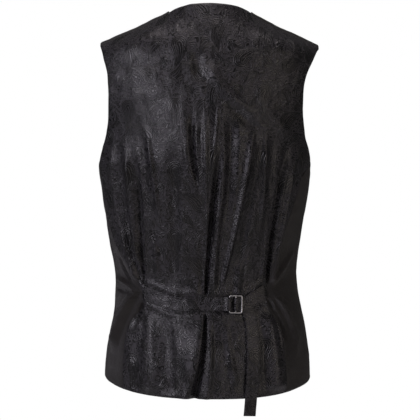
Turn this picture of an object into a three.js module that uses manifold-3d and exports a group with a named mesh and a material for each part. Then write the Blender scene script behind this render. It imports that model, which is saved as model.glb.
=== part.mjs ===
import * as THREE from 'three';
import { mergeVertices } from 'three/addons/utils/BufferGeometryUtils.js';
import Module from 'manifold-3d';

// A man's suit waistcoat, filled out as it is worn. Millimetres.
// +X is the wearer's left, +Y the back, +Z up. The origin lies between the shoulders,
// at the height where the garment hangs on them.
// The satin back is two panels joined down the middle and drawn in by a buckled belt.
// The plain fronts lap at the centre front, wrap round the sides and pass over the shoulders.

// Driving sizes
const BACK_WALL = 1.6;
const FRONT_WALL = 2.0;
const SEAM_GAP = 0.3;
const LAP = 12;                  // each front passes the centre front by this
const LAP_LIFT = 2.7;            // the left front rides over the right one
const NECK_HALF = 65;            // half the back neck's width, at the shoulder seams
const NECK_TOP = 37.5;           // height of the back neck in the middle
const NECK_BACK = 60;            // how far back the neck edge lies in the middle
const SHOULDER_NECK = { y: 8, z: 25 };
const SHOULDER_TIP = { x: 171.5, y: 3, z: -28 };
const SHOULDER_ROLL = { y: -15, z: 4.6 };   // from the shoulder seam to the top of the shoulder
const NECK_SHARE = 0.43;         // share of the back's top row that is the neck edge
const HEM_POINT = { x: 42, drop: 50, edgeDrop: 24 };
const BACK_COLUMNS = 24;
const FRONT_COLUMNS = 16;
const BODY_ROWS = 20;            // rows from the hem to the underarm, the same on back and fronts
const BACK_TOP_ROWS = 16;
const FRONT_TOP_ROWS = 15;
const BELT_HALF = 10.6;          // half the width of the belt's straps
const TAIL_HALF = 9;
const STRAP = 1.2;               // thickness of a strap
const BUTTON = { radius: 7.5, thick: 2.8, first: -300, step: 60, count: 5 };
const BELT_Z = -422.6;
const BUCKLE = { x: -42, z: BELT_Z, halfWide: 11.5, halfHigh: 13, corner: 2, wire: 1.0, bar: 0.8, lift: 4.4 };

const table = (columns, ...lines) => lines.map((line) =>
  Object.fromEntries(columns.split(' ').map((name, i) => [name, line[i]])));

// Level rings round the body. at is the height along the cloth from the hem, half the half width,
// back and front the depths, seams the places of the side seams, edge the front edge's place.
const RINGS = table('name at z half back front seamLeft seamRight edge dip',
  ['hem', 0, -551.7, 164, 115, 110, 131, 122, -LAP, 13.3],
  ['skirt', 44, -508, 161, 111, 109, 131, 119, -LAP, 5],
  ['hip', 90, -464, 153, 102, 106, 125, 110, -LAP, 0],
  ['belt', 134, -422, 146.5, 92, 103, 100, 92, -LAP, 0],
  ['waist', 168, -388, 144.5, 90, 103, 108, 97, -LAP, 0],
  ['lower rib', 216, -340, 150, 96, 108, 138, 113, -LAP, 0],
  ['rib', 270, -286, 158.5, 105, 116, 155.5, 133, -LAP, 0],
  ['underarm', 327, -228, 167, 113, 123, 164, 150, 4, 0]);

// The back above the underarm, from its middle to the armhole.
const BACK_UPPER = table('name at z edgeZ y edgeX edgeY arc',
  ['low blade', 350, -200, -206, 116, 165, 32, 72],
  ['middle blade', 392, -158, -164, 116.5, 154, 50, 61],
  ['blade', 440, -112, -120, 113.5, 150.5, 57, 55],
  ['yoke', 496, -60, -76, 102, 153.5, 52, 52],
  ['collar', 548, -8, -46, 82, 164, 30, 58]);
const BACK_TOP = 594;

// The fronts above the underarm, from the neck edge to the armhole.
const FRONT_UPPER = table('name at neckX neckY neckZ armX armY armZ',
  ['chest', 372, 16, -121, -180, 163, -26, -197],
  ['upper chest', 425, 31, -113, -128, 144, -50, -152],
  ['collarbone', 480, 44, -86, -76, 134, -52, -102],
  ['low shoulder', 540, 56, -42, -20, 150, -36, -57]);
const SIDE_TOP = { at: 345, edge: 8, z: -213, armAngle: 92, armZ: -217 };
const FRONT_ROLL = 594;
const FRONT_TOP = 610;

// Folds in the cloth, x and z where each one starts, passes and ends. wide is the half width at the
// top and bottom, depth is out of the cloth, and in and out are the shares over which it fades.
const BACK_FOLDS = table('name x1 z1 x2 z2 x3 z3 wide1 wide2 depth in out',
  ['centre drop', -22, -172, -8, -285, 1, -405, 13, 9, -7, 0.35, 0.05],
  ['left of centre', 24, -122, 22.5, -195, 12, -250, 11, 9, -4.5, 0.4, 0.35],
  ['right of centre', -26, -228, -16, -310, -12, -403, 11, 9, 2.8, 0.3, 0.1],
  ['blade hollow', -32, -112, -35, -190, -27, -300, 16, 11, -4.6, 0.4, 0.4],
  ['right inner', -71, -135, -51, -262, -21, -398, 11, 9, 3.6, 0.35, 0.15],
  ['right inner dip', -79, -160, -66, -262, -40, -380, 11, 10, -2.8, 0.35, 0.4],
  ['right middle', -88, -142, -86, -215, -80, -325, 10, 9, 3.2, 0.35, 0.4],
  ['right root', -124, -165, -106, -280, -93, -400, 13, 10, -6.5, 0.35, 0.05],
  ['right rim', -136, -185, -121, -280, -102, -393, 11, 10, 3.4, 0.3, 0.05],
  ['left outer', 144, -150, 141, -265, 108, -390, 12, 10, 3.6, 0.3, 0.08],
  ['left second', 125, -165, 116, -275, 103, -380, 11, 9, 3, 0.3, 0.12],
  ['left root', 110, -190, 102, -310, 95, -399, 12, 10, -5.5, 0.35, 0.05],
  ['left middle', 95, -148, 82, -236, 72, -314, 11, 9, 3.4, 0.35, 0.35],
  ['left hollow', 56, -165, 50, -293, 54, -402, 16, 12, -3.6, 0.4, 0.2],
  ['left low', 80, -310, 78, -350, 74, -396, 10, 9, 2.6, 0.4, 0.2],
  ['right break', -4, -48, -26, -96, -87, -141, 14, 13, 3.2, 0.35, 0.4],
  ['right break dip', -28, -112, -52, -136, -86, -164, 14, 13, -2.6, 0.35, 0.4],
  ['left break', 34, -52, 72, -90, 132, -128, 18, 20, 2.2, 0.35, 0.35],
  ['vent', 3, -436, 6, -506, 20, -572, 10, 15, -7, 0.2, 0.02],
  ['vent rim', 12, -448, 19, -510, 37, -572, 18, 14, 3.6, 0.35, 0.02],
  ['vent right', -7, -450, -9, -505, -3, -572, 9, 11, 2.6, 0.4, 0.02],
  ['left sweep', 110, -404, 131, -454, 150, -510, 9, 12, 5, 0.12, 0.3],
  ['left skirt hollow', 62, -442, 56, -492, 52, -560, 12, 14, -3.2, 0.3, 0.1],
  ['left skirt', 86, -430, 86, -487, 82, -560, 12, 16, 3, 0.3, 0.1],
  ['right skirt', -87, -436, -94, -490, -98, -556, 11, 14, 3.4, 0.2, 0.2],
  ['right skirt hollow', -95, -418, -106, -455, -122, -506, 9, 11, -3.4, 0.1, 0.3]);
const FRONT_FOLDS = table('name x1 z1 x2 z2 x3 z3 wide1 wide2 depth in out',
  ['left draw', 128, -150, 118, -270, 120, -380, 16, 12, 2.6, 0.35, 0.3],
  ['left chest', 82, -190, 96, -290, 118, -392, 15, 11, -2.4, 0.4, 0.3],
  ['left waist', 44, -300, 74, -350, 112, -405, 12, 10, 2.2, 0.4, 0.3],
  ['left skirt', 96, -430, 88, -490, 84, -556, 14, 18, 2.4, 0.35, 0.2],
  ['right draw', -130, -150, -120, -270, -121, -380, 16, 12, 2.8, 0.35, 0.3],
  ['right chest', -84, -200, -98, -290, -118, -392, 15, 11, -2.2, 0.4, 0.3],
  ['right waist', -40, -320, -72, -362, -112, -410, 12, 10, 2, 0.4, 0.3],
  ['right skirt', -100, -432, -92, -490, -86, -556, 14, 18, 2.6, 0.35, 0.2]);

const lerp = (a, b, s) => a + (b - a) * s;
const smooth = (a, b, x) => THREE.MathUtils.smoothstep(x, a, b);
const vec = (x, y, z) => new THREE.Vector3(x, y, z);

// The whole garment leans a little, as worn: the waist to one side and the shoulder blades to the other.
const lean = (z) => lerp(lerp(-2.8, 4.2, smooth(-460, -330, z)), -1.6, smooth(-90, -20, z));

// The straps' middle line across the back.
const beltHeight = (x) => BELT_Z + 12.6 * smooth(47, 97, x) + 19 * smooth(56, 93, -x);

function foldDepth(folds, x, z) {
  let sum = 0;
  for (const fold of folds) {
    const s = (fold.z1 - z) / (fold.z1 - fold.z3);
    if (s <= 0 || s >= 1) continue;
    const middle = (fold.z1 - fold.z2) / (fold.z1 - fold.z3);
    const bend = (fold.x2 - lerp(fold.x1, fold.x3, middle)) / (middle * (1 - middle));
    const centre = lerp(fold.x1, fold.x3, s) + bend * s * (1 - s);
    const slope = (fold.x3 - fold.x1 + bend * (1 - 2 * s)) / (fold.z1 - fold.z3);
    const across = Math.abs(x - centre) / Math.hypot(1, slope) / lerp(fold.wide1, fold.wide2, s);
    if (across >= 1) continue;
    sum += fold.depth * smooth(0, fold.in, s) * smooth(0, fold.out, 1 - s) * (1 - across * across) ** 2;
  }
  return sum;
}

// How far the cloth stands out at a place: the folds die away at the sides and lie flat under the belt.
function relief(x, y, z) {
  if (y < 0) return foldDepth(FRONT_FOLDS, x, z) * smooth(0, 30, -y);
  const belt = Math.abs(z - beltHeight(x));
  return foldDepth(BACK_FOLDS, x, z) * smooth(0, 30, y) * smooth(15, 32, belt);
}

// A smooth surface through rows: rowAt(i, u) is a point of row i at share u, heights the rows' places.
function loft(rowAt, heights, u, t) {
  const last = heights.length - 1;
  const slope = (i) => {
    const low = i === 0 ? 0 : i - 1;
    const high = i === last || i === RINGS.length - 1 ? i : i + 1;
    return rowAt(high, u).sub(rowAt(low, u)).divideScalar(heights[high] - heights[low]);
  };
  if (t <= heights[0]) {
    const start = rowAt(1, u).sub(rowAt(0, u)).divideScalar(heights[1] - heights[0]);
    return rowAt(0, u).addScaledVector(start, t - heights[0]);
  }
  let i = 0;
  while (i < last - 1 && heights[i + 1] <= t) i += 1;
  const h = heights[i + 1] - heights[i];
  const s = (t - heights[i]) / h;
  const start = i === 0 ? rowAt(1, u).sub(rowAt(0, u)).divideScalar(h) : slope(i);
  return rowAt(i, u).multiplyScalar(2 * s ** 3 - 3 * s ** 2 + 1)
    .addScaledVector(start, (s ** 3 - 2 * s ** 2 + s) * h)
    .addScaledVector(rowAt(i + 1, u), 3 * s ** 2 - 2 * s ** 3)
    .addScaledVector(slope(i + 1), (s ** 3 - s ** 2) * h);
}

function shoulderSeam(s) {
  return vec(lerp(NECK_HALF, SHOULDER_TIP.x, s), lerp(SHOULDER_NECK.y, SHOULDER_TIP.y, s),
    lerp(SHOULDER_NECK.z, SHOULDER_TIP.z, Math.max(0, s) ** 0.84));
}

function backRow(side, i, u) {
  if (i < RINGS.length) {
    const ring = RINGS[i];
    const angle = u * Math.asin((side > 0 ? ring.seamLeft : ring.seamRight) / ring.half);
    return vec(ring.half * Math.sin(angle), ring.back * Math.cos(angle),
      ring.z - ring.dip * (1 - Math.sin(angle) ** 4));
  }
  const row = BACK_UPPER[i - RINGS.length];
  if (row) {
    const arc = THREE.MathUtils.degToRad(row.arc);
    const reach = (Math.cos(u * arc) - Math.cos(arc)) / (1 - Math.cos(arc));
    return vec(row.edgeX * Math.sin(u * arc) / Math.sin(arc), lerp(row.edgeY, row.y, reach),
      lerp(row.z, row.edgeZ, u * u));
  }
  if (u >= NECK_SHARE) return shoulderSeam((u - NECK_SHARE) / (1 - NECK_SHARE));
  const turn = u / NECK_SHARE * Math.PI / 2;
  const x = NECK_HALF * Math.sin(turn);
  return vec(x, lerp(SHOULDER_NECK.y, NECK_BACK, Math.cos(turn)),
    lerp(NECK_TOP, SHOULDER_NECK.z, Math.abs(x / NECK_HALF) ** 2.6));
}
const BACK_HEIGHTS = [...RINGS, ...BACK_UPPER].map((row) => row.at).concat(BACK_TOP);

// The fronts' hem drops to a point beside the centre front.
function hemDrop(x) {
  if (x < HEM_POINT.x) return lerp(HEM_POINT.edgeDrop, HEM_POINT.drop, (x + LAP) / (HEM_POINT.x + LAP));
  const rest = Math.max(0, RINGS[0].half - x) / (RINGS[0].half - HEM_POINT.x);
  return HEM_POINT.drop * rest ** 1.3;
}

function roundBody(half, front, back, angle) {
  return vec(half * Math.sin(angle), -(angle < Math.PI / 2 ? front : back) * Math.cos(angle), 0);
}

function frontRow(side, i, u) {
  if (i < RINGS.length) {
    const ring = RINGS[i];
    const seam = Math.PI - Math.asin((side > 0 ? ring.seamLeft : ring.seamRight) / ring.half);
    const angle = lerp(Math.asin(ring.edge / ring.half), seam, u);
    const point = roundBody(ring.half, ring.front, ring.back, angle);
    const drop = point.y > 0 ? ring.dip * (1 - Math.sin(angle) ** 4) : 0;
    return point.setZ(ring.z - (i === 0 && point.y <= 0 ? hemDrop(point.x) : drop));
  }
  if (i === RINGS.length) {
    const ring = RINGS[i - 1];
    const angle = lerp(Math.asin(SIDE_TOP.edge / ring.half), THREE.MathUtils.degToRad(SIDE_TOP.armAngle), u);
    return roundBody(ring.half, ring.front, ring.back, angle).setZ(lerp(SIDE_TOP.z, SIDE_TOP.armZ, u * u));
  }
  const row = FRONT_UPPER[i - RINGS.length - 1];
  if (row) {
    // The level ellipse through the neck edge and the armhole edge.
    const squares = row.neckX ** 2 * row.armY ** 2 - row.armX ** 2 * row.neckY ** 2;
    const half = Math.sqrt(squares / (row.armY ** 2 - row.neckY ** 2));
    const front = Math.sqrt(squares / (row.neckX ** 2 - row.armX ** 2));
    const angle = lerp(Math.asin(row.neckX / half), Math.asin(row.armX / half), u);
    return roundBody(half, front, 0, angle).setZ(lerp(row.neckZ, row.armZ, u * u));
  }
  const seam = shoulderSeam(u);
  if (i === FRONT_HEIGHTS.length - 1) return seam;
  return seam.add(vec(0, SHOULDER_ROLL.y, SHOULDER_ROLL.z * lerp(0.5, 1, smooth(0, 0.2, u))));
}
const FRONT_HEIGHTS = [...RINGS, SIDE_TOP, ...FRONT_UPPER].map((row) => row.at).concat(FRONT_ROLL, FRONT_TOP);

// A surface gives the cloth's place, its ways along u and t, and its way out.
function surface(rowAt, heights, outward, side) {
  return (u, t) => {
    const at = (a, b) => loft((i, share) => rowAt(side, i, share), heights, a, b);
    const point = at(u, t);
    const alongU = at(u + 0.004, t).sub(at(u - 0.004, t)).normalize();
    const alongT = at(u, Math.min(t + 0.5, heights.at(-1))).sub(at(u, t - 0.5)).normalize();
    const out = vec().crossVectors(alongU, alongT).normalize().multiplyScalar(outward);
    for (const way of [point, alongU, alongT, out]) way.x *= side;
    return { point, alongU, alongT, out };
  };
}
const backSurface = (side) => surface(backRow, BACK_HEIGHTS, -1, side);
const frontSurface = (side) => surface(frontRow, FRONT_HEIGHTS, 1, side);

// Moves a place out of the cloth and leans it with the garment.
function raise(place, lift) {
  const moved = place.point.clone().addScaledVector(place.out, lift);
  moved.x += lean(moved.z);
  return moved;
}

// The place on a surface at a given x and z of the leaning garment, found step by step.
function seek(onSurface, x, z, u, t) {
  let place = onSurface(u, t);
  for (let i = 0; i < 14; i += 1) {
    const stepU = (onSurface(u + 0.01, t).point.x - place.point.x) / 0.01;
    const stepT = (onSurface(u, t + 2).point.z - place.point.z) / 2;
    u += (x - lean(z) - place.point.x) / stepU;
    t += (z - place.point.z) / stepT;
    place = onSurface(u, t);
  }
  return place;
}

// A closed wall from two grids of points, the outer one and the inner one.
function wallGeometry(outer, inner, flip) {
  const rows = outer.length;
  const columns = outer[0].length;
  const positions = [...outer.flat(), ...inner.flat()].flatMap((p) => [p.x, p.y, p.z]);
  const index = [];
  const quad = (a, b, c, d) => (flip ? index.push(a, c, b, a, d, c) : index.push(a, b, c, a, c, d));
  const out = (j, i) => j * columns + i;
  const into = (j, i) => rows * columns + j * columns + i;
  for (let j = 0; j < rows - 1; j += 1) {
    for (let i = 0; i < columns - 1; i += 1) {
      quad(out(j, i), out(j, i + 1), out(j + 1, i + 1), out(j + 1, i));
      quad(into(j, i), into(j + 1, i), into(j + 1, i + 1), into(j, i + 1));
    }
    quad(out(j, 0), out(j + 1, 0), into(j + 1, 0), into(j, 0));
    quad(out(j + 1, columns - 1), out(j, columns - 1), into(j, columns - 1), into(j + 1, columns - 1));
  }
  for (let i = 0; i < columns - 1; i += 1) {
    quad(out(0, i + 1), out(0, i), into(0, i), into(0, i + 1));
    quad(out(rows - 1, i), out(rows - 1, i + 1), into(rows - 1, i + 1), into(rows - 1, i));
  }
  const geometry = new THREE.BufferGeometry();
  geometry.setAttribute('position', new THREE.Float32BufferAttribute(positions, 3));
  geometry.setIndex(index);
  return geometry;
}

// A panel of cloth with its folds. The wall's way in leans half as much as the folds do,
// so that the inner points don't cross in a tight fold.
function panelGeometry({ onSurface, columns, heights, wall, seams, lift, flip }) {
  const outer = [];
  const inner = [];
  heights.forEach((t, j) => {
    outer.push([]);
    inner.push([]);
    for (let i = 0; i <= columns; i += 1) {
      const place = onSurface(i / columns, t);
      const { point, out } = place;
      const x = point.x + lean(point.z);
      if (i === 0 && seams.first) point.addScaledVector(place.alongU, SEAM_GAP / 2);
      if (i === columns && seams.last) point.addScaledVector(place.alongU, -SEAM_GAP / 2);
      if (j === heights.length - 1) point.addScaledVector(place.alongT, -SEAM_GAP / 2);
      const outside = raise(place, relief(x, point.y, point.z) + lift(x, point.y, point.z));
      const slopeX = (relief(x + 1, point.y, point.z) - relief(x - 1, point.y, point.z)) / 2;
      const slopeZ = (relief(x, point.y, point.z + 1) - relief(x, point.y, point.z - 1)) / 2;
      const through = out.clone().sub(vec(slopeX / 2, 0, slopeZ / 2)).normalize();
      if (j === heights.length - 1) through.set(0, 0.35, 0.94).normalize();
      outer[j].push(outside);
      inner[j].push(outside.clone().addScaledVector(through, -wall));
    }
  });
  return wallGeometry(outer, inner, flip);
}

const stepsBetween = (from, to, count) => Array.from({ length: count }, (_, i) => lerp(from, to, (i + 1) / count));
const BODY_HEIGHTS = [0, ...stepsBetween(0, RINGS.at(-1).at, BODY_ROWS)];

const satin = () => new THREE.MeshStandardMaterial({ color: 0x1c1b1e, roughness: 0.42, metalness: 0 });
const suiting = () => new THREE.MeshStandardMaterial({ color: 0x171414, roughness: 0.85, metalness: 0 });
const steel = () => new THREE.MeshStandardMaterial({ color: 0xc9cbcd, roughness: 0.22, metalness: 1 });
const horn = () => new THREE.MeshStandardMaterial({ color: 0x141212, roughness: 0.4, metalness: 0 });

const waistcoat = new THREE.Group();
function add(name, geometry, material) {
  geometry.computeVertexNormals();
  const mesh = new THREE.Mesh(geometry, material);
  mesh.name = name;
  waistcoat.add(mesh);
  return mesh;
}

// Back panels, joined down the middle and to the fronts at the sides and shoulders.
for (const [name, side] of [['back_left', 1], ['back_right', -1]]) {
  add(name, panelGeometry({
    onSurface: backSurface(side), columns: BACK_COLUMNS, wall: BACK_WALL, flip: side > 0,
    heights: [...BODY_HEIGHTS, ...stepsBetween(RINGS.at(-1).at, BACK_TOP, BACK_TOP_ROWS)],
    seams: { first: true, last: true }, lift: () => 0,
  }), satin());
}

// Fronts, the left one lapped over the right one.
for (const [name, side] of [['front_left', 1], ['front_right', -1]]) {
  const lift = (x, y) => (side > 0 && y < 0 ? LAP_LIFT * (1 - smooth(LAP + 14, LAP + 50, x)) : 0);
  add(name, panelGeometry({
    onSurface: frontSurface(side), columns: FRONT_COLUMNS, wall: FRONT_WALL, flip: side < 0,
    heights: [...BODY_HEIGHTS, ...stepsBetween(RINGS.at(-1).at, FRONT_TOP, FRONT_TOP_ROWS)],
    seams: { first: false, last: true }, lift,
  }), suiting());
}

// A strap is a strip that follows stations along lines drawn on the back. A line is a smooth curve of
// x and z, along is the place on it in millimetres and lift the height of the strip's middle.
function line(...points) {
  const curve = new THREE.SplineCurve(points.map(([x, z]) => new THREE.Vector2(x, z)));
  curve.arcLengthDivisions = 400;
  const length = curve.getLength();
  return { length, at: (along) => {
    const share = THREE.MathUtils.clamp(along / length, 0, 1);
    const way = curve.getTangentAt(share);
    return { place: curve.getPointAt(share).addScaledVector(way, along - share * length), way };
  } };
}

// The buckle lies flat on the straps, so near it they follow its plane and not the back's curve.
const seat = seek(backSurface(-1), BUCKLE.x, BUCKLE.z, 0.4, BUCKLE.z + 551);
const SEAT_LIFT = 0.4;
const sideways = vec(1, 0, 0).addScaledVector(seat.out, -seat.out.x).normalize();
const downwards = vec().crossVectors(seat.out, sideways);

function onBack(x, z, lift) {
  const side = x - lean(z) >= 0 ? 1 : -1;
  const draped = raise(seek(backSurface(side), x, z, 0.5, z + 551), lift);
  const flat = raise(seat, SEAT_LIFT + lift)
    .addScaledVector(sideways, x - BUCKLE.x).addScaledVector(downwards, BUCKLE.z - z);
  return draped.lerp(flat, 1 - smooth(16, 40, Math.hypot(x - BUCKLE.x, z - BUCKLE.z)));
}

function strapGeometry(stations, flip) {
  const ACROSS = [-1, -0.34, 0.34, 1];
  const outer = [];
  const inner = [];
  stations.forEach((station, j) => {
    const before = stations[Math.max(j - 1, 0)];
    const after = stations[Math.min(j + 1, stations.length - 1)];
    const from = before.line === station.line ? before.along : station.line.join;
    const to = after.line === station.line ? after.along : station.line.join;
    const tilt = Math.atan2(after.lift - before.lift, to - from);
    const faces = [1, -1].map((face) => ACROSS.map((share) => {
      const along = station.along - face * STRAP / 2 * Math.sin(tilt);
      const { place, way } = station.line.at(along);
      return onBack(place.x - way.y * share * station.half, place.y + way.x * share * station.half,
        station.lift + face * STRAP / 2 * Math.cos(tilt));
    }));
    outer.push(faces[0]);
    inner.push(faces[1]);
  });
  return wallGeometry(outer, inner, flip);
}

const runStations = (onLine, from, to, count, liftAt, half) => Array.from({ length: count }, (_, i) => {
  const share = i / (count - 1);
  return { line: onLine, along: lerp(from, to, share), lift: liftAt(share), half };
});
// Stations round a bar of the buckle, half a turn from below it to above it.
const turnStations = (onLine, along, radius, half, way) => [-75, -38, 0, 38, 75].map((degrees) => {
  const angle = THREE.MathUtils.degToRad(degrees);
  return { line: onLine, along: along + way * radius * Math.cos(angle), half,
    lift: BUCKLE.lift + radius * Math.sin(angle) };
});

const FLAT = 0.45 + STRAP / 2;                       // a strap lying on the back
const SECOND = FLAT + STRAP + SEAM_GAP;              // a layer lying on another one
const LEFT_BAR = BUCKLE.x + BUCKLE.halfWide;
const leftRadius = BUCKLE.wire + SEAM_GAP + STRAP / 2;
const barRadius = BUCKLE.bar + SEAM_GAP + STRAP / 2;

// The left strap runs from the side seam to the buckle, round its near bar and back under itself.
const leftLine = line([97.5, beltHeight(97)], [72, beltHeight(72)], [47, beltHeight(47)], [0, beltHeight(0)],
  [LEFT_BAR, beltHeight(LEFT_BAR)]);
const FOLD_BACK = 15;
const easeTo = (from, to) => (share) => lerp(from, to, smooth(0, 1, share));
const strapLeft = [
  ...runStations(leftLine, 0, leftLine.length - FOLD_BACK - 8, 16, () => FLAT, BELT_HALF),
  ...runStations(leftLine, leftLine.length - FOLD_BACK - 3, leftLine.length - FOLD_BACK + 1, 2,
    easeTo(lerp(FLAT, SECOND, 0.6), SECOND), BELT_HALF),
  ...runStations(leftLine, leftLine.length - 9, leftLine.length - 2, 3,
    easeTo(SECOND + 0.6, BUCKLE.lift + leftRadius * 0.98), BELT_HALF),
  ...turnStations(leftLine, leftLine.length, leftRadius, BELT_HALF, 1).reverse(),
  ...runStations(leftLine, leftLine.length - 3, leftLine.length - FOLD_BACK, 4,
    easeTo(BUCKLE.lift - leftRadius, FLAT), BELT_HALF),
];
add('strap_left', strapGeometry(strapLeft, false), satin());

// The right strap runs to the buckle, round its middle bar and out again as the hanging tail.
const rightLine = line([-91.5, beltHeight(-92)], [-74, beltHeight(-74)], [-58, beltHeight(-58)],
  [BUCKLE.x, beltHeight(BUCKLE.x)]);
const tailLine = line([-66, -591], [-69, -545], [-70.5, -500], [-69.5, -464], [-66.5, -443], [-61, -430.5],
  [-52, -423.6], [BUCKLE.x, beltHeight(BUCKLE.x)]);
rightLine.join = rightLine.length;
tailLine.join = tailLine.length;
const tailHang = (share) => lerp(SECOND, 5.2, smooth(0.14, 0.45, share));
const strapRight = [
  ...runStations(rightLine, 0, rightLine.length - 13, 7, () => FLAT, BELT_HALF),
  ...runStations(rightLine, rightLine.length - 9, rightLine.length - 2, 3,
    easeTo(FLAT + 0.15, BUCKLE.lift - barRadius), BELT_HALF),
  ...turnStations(rightLine, rightLine.length, barRadius, BELT_HALF - 0.5, 1),
  ...runStations(tailLine, tailLine.length - 2, tailLine.length - 7, 3,
    easeTo(BUCKLE.lift + barRadius, SECOND), BELT_HALF - 1.2),
  ...runStations(tailLine, tailLine.length - 13, 0, 19, tailHang, TAIL_HALF),
];
add('strap_right', strapGeometry(strapRight, false), satin());

// The buckle is a wire frame with rounded corners and a bar across its middle.
function wireLoop(points, radius, sides) {
  const positions = [];
  const index = [];
  points.forEach((point, j) => {
    const next = points[(j + 1) % points.length];
    const before = points[(j + points.length - 1) % points.length];
    const way = next.clone().sub(before).normalize();
    const beside = vec(way.y, -way.x, 0);
    for (let i = 0; i < sides; i += 1) {
      const turn = i / sides * Math.PI * 2;
      const at = point.clone().addScaledVector(beside, radius * Math.cos(turn));
      positions.push(at.x, at.y, radius * Math.sin(turn));
      const [a, b] = [j * sides + i, j * sides + (i + 1) % sides];
      const [c, d] = [b, a].map((k) => (k + sides) % (points.length * sides));
      index.push(a, c, b, a, d, c);
    }
  });
  const geometry = new THREE.BufferGeometry();
  geometry.setAttribute('position', new THREE.Float32BufferAttribute(positions, 3));
  geometry.setIndex(index);
  return geometry;
}

const wasm = await Module();
wasm.setup();
function toSolid(geometry) {
  geometry.deleteAttribute('normal');
  geometry.deleteAttribute('uv');
  const merged = mergeVertices(geometry, 1e-5);
  return new wasm.Manifold(new wasm.Mesh({
    numProp: 3, vertProperties: merged.attributes.position.array, triVerts: new Uint32Array(merged.index.array),
  }));
}
function toGeometry(solid) {
  const mesh = solid.getMesh();
  const geometry = new THREE.BufferGeometry();
  geometry.setAttribute('position', new THREE.Float32BufferAttribute(mesh.vertProperties, 3));
  geometry.setIndex(Array.from(mesh.triVerts));
  return geometry;
}

const corners = [[1, 1, 0], [-1, 1, 90], [-1, -1, 180], [1, -1, 270]];
const framePath = corners.flatMap(([right, up, start]) => [0, 30, 60, 90].map((step) => {
  const angle = THREE.MathUtils.degToRad(start + step);
  return vec(right * (BUCKLE.halfWide - BUCKLE.corner) + BUCKLE.corner * Math.cos(angle),
    up * (BUCKLE.halfHigh - BUCKLE.corner) + BUCKLE.corner * Math.sin(angle), 0);
}));
const middleBar = new THREE.CylinderGeometry(BUCKLE.bar, BUCKLE.bar, BUCKLE.halfHigh * 2, 8);
const buckle = toSolid(wireLoop(framePath, BUCKLE.wire, 8)).add(toSolid(middleBar));
const standing = new THREE.Matrix4().makeBasis(sideways, downwards, seat.out);
const buckleMesh = add('buckle', toGeometry(buckle), steel());
buckleMesh.position.copy(raise(seat, SEAT_LIFT + BUCKLE.lift));
buckleMesh.quaternion.setFromRotationMatrix(standing);

// Buttons on the left front, down the centre front.
const { radius, thick } = BUTTON;
const buttonProfile = [[0, 0], [radius * 0.8, 0], [radius, thick * 0.35], [radius, thick * 0.75],
  [radius * 0.88, thick], [radius * 0.7, thick * 0.78], [0, thick * 0.74]];
for (let i = 0; i < BUTTON.count; i += 1) {
  const z = BUTTON.first - i * BUTTON.step;
  const place = seek(frontSurface(1), 0, z, 0.06, z + 551);
  const disc = new THREE.LatheGeometry(buttonProfile.map(([x, y]) => new THREE.Vector2(x, y)), 16);
  const button = add(`button_${i + 1}`, toGeometry(toSolid(disc)), horn());
  button.position.copy(raise(place, LAP_LIFT + SEAM_GAP));
  button.quaternion.setFromUnitVectors(vec(0, 1, 0), place.out);
}

export default waistcoat;
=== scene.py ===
import math

import bmesh
import bpy
import numpy as np
from mathutils import Matrix, Vector, noise
from mathutils.bvhtree import BVHTree


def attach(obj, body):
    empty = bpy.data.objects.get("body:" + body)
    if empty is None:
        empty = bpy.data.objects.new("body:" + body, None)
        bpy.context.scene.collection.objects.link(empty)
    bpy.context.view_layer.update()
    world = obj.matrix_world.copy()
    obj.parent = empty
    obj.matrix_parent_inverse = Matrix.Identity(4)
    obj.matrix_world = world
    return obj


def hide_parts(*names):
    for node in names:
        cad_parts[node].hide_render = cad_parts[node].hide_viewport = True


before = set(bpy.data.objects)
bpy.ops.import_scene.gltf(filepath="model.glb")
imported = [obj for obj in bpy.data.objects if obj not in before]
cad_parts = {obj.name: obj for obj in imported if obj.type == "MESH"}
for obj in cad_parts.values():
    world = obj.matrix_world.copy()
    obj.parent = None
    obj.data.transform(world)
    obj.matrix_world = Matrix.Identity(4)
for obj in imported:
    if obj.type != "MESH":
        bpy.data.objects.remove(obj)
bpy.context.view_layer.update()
MM = 0.001

# Back panels
# Two panels of black satin jacquard with a thin lining, joined down the middle and to the fronts at
# the sides and shoulders. Each is drawn into drapes where the belt is sewn to it. Sizes are in mm.
LAP = 12
NECK_HALF, NECK_TOP, NECK_BACK, NECK_SHARE = 65, 37.0, 60, 0.43
SHOULDER_NECK = (8, 25)
SHOULDER_TIP = (171.5, 3, -28)
SHOULDER_ROLL = {"y": -15, "z": 4.6}
BACK_TOP = 594
BELT_Z = -422.6
BELT_HALF = 10.6
BELT_END = (96, 108)
PUFF = {"high": 1.3, "at": 17, "wide": 4.5}
SATIN_WALL = 1.3
BACK_COLUMNS = 160
BACK_TOP_ROWS = 125


def table(columns, *lines):
    return [dict(zip(columns.split(), line)) for line in lines]


# Level rings round the body. at is the height along the cloth from the hem, half the half width,
# back and front the depths, left and right the places of the side seams, edge that of the front.
RINGS = table(
    "name at z half back front left right edge dip",
    ("hem", 0, -551.7, 164, 115, 110, 131, 122, -LAP, 13.3),
    ("skirt", 44, -508, 161, 111, 109, 131, 119, -LAP, 5),
    ("hip", 90, -464, 153, 102, 106, 125, 110, -LAP, 0),
    ("belt", 134, -422, 146.5, 92, 103, 100, 92, -LAP, 0),
    ("waist", 168, -388, 144.5, 90, 103, 108, 97, -LAP, 0),
    ("lower rib", 216, -340, 150, 96, 108, 138, 113, -LAP, 0),
    ("rib", 270, -286, 158.5, 105, 116, 155.5, 133, -LAP, 0),
    ("underarm", 327, -228, 167, 113, 123, 164, 150, 4, 0),
)
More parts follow.
